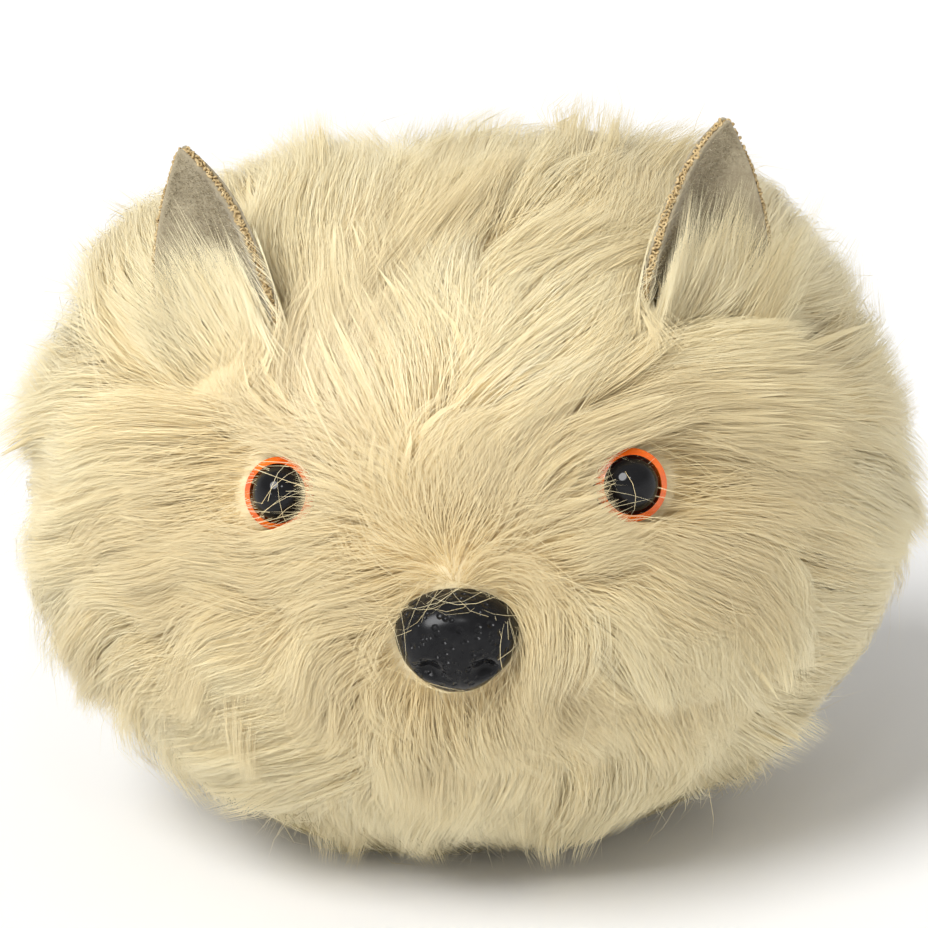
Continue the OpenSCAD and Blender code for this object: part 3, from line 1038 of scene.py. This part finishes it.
def torus(ring, tube, around, section):
    i, j = np.meshgrid(np.arange(around), np.arange(section), indexing="ij")
    p, q = 2 * math.pi * i / around, 2 * math.pi * j / section
    r = ring + tube * np.cos(q)
    verts = np.stack([r * np.cos(p), r * np.sin(p), tube * np.sin(q)], -1).reshape(-1, 3)
    i2, j2 = (i + 1) % around, (j + 1) % section
    faces = np.stack(
        [i * section + j, i2 * section + j, i2 * section + j2, i * section + j2], -1
    ).reshape(-1, 4)
    return verts, faces


def ear_loops(side, material):
    """Two rows of knit loops that stand out of the raw edge between the velour layers."""
    place = EARS[side]
    z = np.linspace(0, EAR_L * 0.985, int(EAR_L * 1.12 / LOOP_PITCH))
    verts, faces = [], []
    ring_verts, ring_faces = torus(LOOP_R, LOOP_TUBE, 9, 5)
    for flank in (-1, 1):
        for row, depth in ((0, VELOUR_T + 0.08 * MM), (1, VELOUR_T + KNIT_T)):
            zz = z + row * LOOP_PITCH / 2
            x = flank * (ear_half_width(zz) + 0.85 * MM)
            for centre in cup_point(x, zz, depth):
                spin = turned(*RNG.uniform(-75, 75, 3)) @ turned(0, 0, 90 - 60 * flank)
                shape = (ring_verts * RNG.uniform(0.8, 1.2)) @ turned(90, 0, 0).T @ spin.T
                faces.append(ring_faces + len(verts) * len(ring_verts))
                verts.append(shape + centre + RNG.normal(0, 0.08 * MM, 3))
    verts = to_row(np.concatenate(verts), place)
    none = np.zeros((0, 3), int)
    piece = new_piece(f"ear_loops_{side}", verts, np.concatenate(faces), none, material)
    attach(piece, f"ear_{side}")
    return piece


def ear_nap(side, material):
    """The short brushed nap of both velour faces, one thin triangle for each fibre."""
    place = EARS[side]
    z = RNG.uniform(0, EAR_L, 3 * NAP_COUNT)
    x = RNG.uniform(-EAR_W / 2, EAR_W / 2, 3 * NAP_COUNT)
    inside = np.abs(x) < ear_half_width(z)
    z, x = z[inside][:NAP_COUNT], x[inside][:NAP_COUNT]
    hollow = RNG.random(len(x)) < 0.5
    root = cup_point(x, z, np.where(hollow, 0.02 * MM, EAR_T - 0.02 * MM))
    turn = np.arcsin(np.clip(x / (CUP_R + EAR_T / 2), -1, 1))
    out = np.stack([np.sin(turn), np.cos(turn), np.zeros(len(x))], -1)
    out[hollow] *= -1
    lean = RNG.normal(size=(len(x), 3)) * 0.7 + np.array([0, 0, 0.9])
    grown = unit(out * 0.8 + lean) * NAP_L * RNG.uniform(0.5, 1.1, (len(x), 1))
    across = unit(np.cross(grown, RNG.normal(size=(len(x), 3)))) * 0.055 * MM
    verts = np.stack([root - across, root + across, root + grown], 1).reshape(-1, 3)
    faces = np.arange(len(verts)).reshape(-1, 3)
    piece = new_piece(
        f"ear_nap_{side}", to_row(verts, place), np.zeros((0, 4), int), faces, material
    )
    write_attribute(piece.data, "tone", np.repeat(RNG.random(len(x)), 3))
    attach(piece, f"ear_{side}")
    return piece


# ---- nose ----


def nose_material():
    mat, tree, shader = node_material("moulded_nose", 0.22, specular=0.2)
    cloud = noise(tree, 500.0)
    tree.links.new(
        ramp(tree, cloud, [(0.3, (0.004, 0.004, 0.005)), (0.7, (0.010, 0.010, 0.011))]),
        shader.inputs["Base Color"],
    )
    place = add(tree, "ShaderNodeTexCoord").outputs["Object"]
    pores = add(tree, "ShaderNodeTexVoronoi")
    pores.inputs["Scale"].default_value = 560.0
    tree.links.new(place, pores.inputs["Vector"])
    deep = add(tree, "ShaderNodeMapRange")
    deep.inputs["From Min"].default_value = 0.18
    deep.inputs["From Max"].default_value = 0.42
    tree.links.new(pores.outputs["Distance"], deep.inputs["Value"])
    bump(tree, shader, deep.outputs["Result"], 1.0, 0.35 * MM)
    return mat


def build_nose(material):
    """The moulded nose: wide above, narrow below, with two nostrils and a groove between them."""
    rows, columns = 72, 180
    i, j = np.meshgrid(np.arange(rows), np.arange(columns), indexing="ij")
    turn = 2 * math.pi * j / columns
    rise = (math.pi / 2) * i / rows
    s = np.cos(rise) ** 0.75
    x = NOSE_W / 2 * s * np.cos(turn) * (0.96 + 0.16 * np.sin(turn))
    y = NOSE_H / 2 * s * np.sin(turn)
    z = NOSE_T * np.sin(rise)
    for flank in (-1, 1):
        dx = (x - flank * NOSE_W * 0.22) / (2.5 * MM)
        dy = (y + NOSE_H * 0.17 + np.abs(dx) * 0.4 * MM) / (1.7 * MM)
        z = z - 2.6 * MM * np.exp(-((dx**2 + dy**2) ** 1.2))
        wing_x = (x - flank * NOSE_W * 0.33) / (3 * MM)
        wing_y = (y + 3.5 * MM) / (3 * MM)
        z = z + 0.5 * MM * np.exp(-(wing_x**2 + wing_y**2))
    groove = np.exp(-((x / (0.7 * MM)) ** 2)) * np.clip(-y / (NOSE_H * 0.25), 0, 1)
    z = z - 0.5 * MM * groove
    verts = np.stack([x, y, z + BACKING], -1).reshape(-1, 3)
    tip = np.array([[0, 0, NOSE_T + BACKING]])
    foot = np.array([[0, 0, BACKING]])
    verts = np.concatenate([verts, tip, foot])
    points = rows * columns
    cap = closing_fan(points - columns, columns, points, False)
    under = closing_fan(0, columns, points + 1, True)
    faces_4, ends = grid_faces(rows, columns), np.concatenate([cap, under])
    piece = new_piece("nose_moulding", to_row(verts, NOSE), faces_4, ends, material)
    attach(piece, "head")
    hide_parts("nose")
    return piece


# ---- CAD nodes that keep their shape ----

EYE_BLACK = (0.003, 0.003, 0.004), (0.006, 0.006, 0.007)
EYE_ORANGE = (0.66, 0.075, 0.002), (0.92, 0.17, 0.006)
WASHER_WHITE = (0.72, 0.72, 0.69), (0.85, 0.85, 0.82)


def paint(nodes, material):
    for name in nodes:
        mesh = frame["nodes"][name].data
        mesh.materials.clear()
        mesh.materials.append(material)


def paint_frame():
    sides = ("left", "right")
    black = plastic_material("eye_black", *EYE_BLACK, 0.05, specular=0.28)
    orange = plastic_material("eye_orange", *EYE_ORANGE, 0.16, coat=0.3)
    white = plastic_material("washer_white", *WASHER_WHITE, 0.5, grain=0.3)
    paint([f"eye_{part}_{s}" for part in ("pupil", "stem") for s in sides], black)
    paint([f"eye_iris_{s}" for s in sides], orange)
    paint([f"eye_washer_{s}" for s in sides] + ["nose_washer"], white)
    paint([f"ear_thread_{s}" for s in sides] + ["closing_thread"], thread_material())


# ---- stage ----

VIEW_ELEVATION = math.radians(20)
VIEW_AZIMUTH = math.radians(2.3)
VIEW_ROLL = math.radians(-2.2)
CAMERA_AWAY = 1.0
LENS = 192.0


def build_stage():
    mesh = bpy.data.meshes.new("floor")
    r = 4.0
    mesh.from_pydata([(-r, -r, 0), (r, -r, 0), (r, r, 0), (-r, r, 0)], [], [(0, 1, 2, 3)])
    floor = bpy.data.objects.new("floor", mesh)
    mat, tree, shader = node_material("pale_floor", 0.9, specular=0.1)
    shader.inputs["Base Color"].default_value = (0.85, 0.85, 0.85, 1)
    mesh.materials.append(mat)
    bpy.context.scene.collection.objects.link(floor)


def add_light(name, place, size, energy, colour):
    data = bpy.data.lights.new(name, "AREA")
    data.shape = "DISK"
    data.size = size
    data.energy = energy
    data.color = colour
    light = bpy.data.objects.new(name, data)
    light.location = Vector(CENTRE) + Vector(place)
    light.rotation_euler = (-Vector(place)).to_track_quat("-Z", "Y").to_euler()
    bpy.context.scene.collection.objects.link(light)


def add_sun(name, place, strength, softness):
    data = bpy.data.lights.new(name, "SUN")
    data.energy = strength
    data.angle = math.radians(softness)
    light = bpy.data.objects.new(name, data)
    light.rotation_euler = (-Vector(place)).to_track_quat("-Z", "Y").to_euler()
    bpy.context.scene.collection.objects.link(light)


def build_light():
    world = bpy.data.worlds.new("studio")
    world.use_nodes = True
    tree = world.node_tree
    place = add(tree, "ShaderNodeTexCoord")
    parts = add(tree, "ShaderNodeSeparateXYZ")
    tree.links.new(place.outputs["Generated"], parts.inputs[0])
    wall, ceiling = (1.0, 1.0, 1.0), (0.52, 0.51, 0.49)
    sky = ramp(tree, parts.outputs["Z"], [(0.10, wall), (0.5, ceiling)])
    tree.links.new(sky, tree.nodes["Background"].inputs["Color"])
    bpy.context.scene.world = world
    add_sun("key", (-0.54, -0.66, 1.0), 2.8, 30.0)
    add_light("glint", (0.10, -1.0, 1.1), 0.16, 0.8, (1.0, 1.0, 1.0))


def build_camera():
    data = bpy.data.cameras.new("camera")
    data.lens = LENS
    data.sensor_width = 36
    camera = bpy.data.objects.new("camera", data)
    target = Vector(CENTRE) + Vector((-0.6 * MM, 0, 5.5 * MM))
    level = math.cos(VIEW_ELEVATION)
    across, ahead = math.sin(VIEW_AZIMUTH) * level, -math.cos(VIEW_AZIMUTH) * level
    away = Vector((across, ahead, math.sin(VIEW_ELEVATION)))
    camera.location = target + away * CAMERA_AWAY
    camera.rotation_euler = (-away).to_track_quat("-Z", "Y").to_euler()
    camera.rotation_euler.rotate_axis("Z", VIEW_ROLL)
    bpy.context.scene.collection.objects.link(camera)
    bpy.context.scene.camera = camera


def main():
    paint_frame()
    build_backing(backing_material())
    pile = fur_material()
    build_fur(pile, under_material())
    build_strays(pile)
    nap = nap_material()
    loop = knit_material("knit_loops")
    velour, knit = velour_material(), knit_material("looped_knit")
    build_stuffing(stuffing_material())
    for side in EARS:
        ear_layers(side, velour, knit)
        ear_loops(side, loop)
        ear_nap(side, nap)
    build_nose(nose_material())
    build_stage()
    build_light()
    build_camera()
    bpy.context.scene.view_settings.view_transform = "Standard"


main()
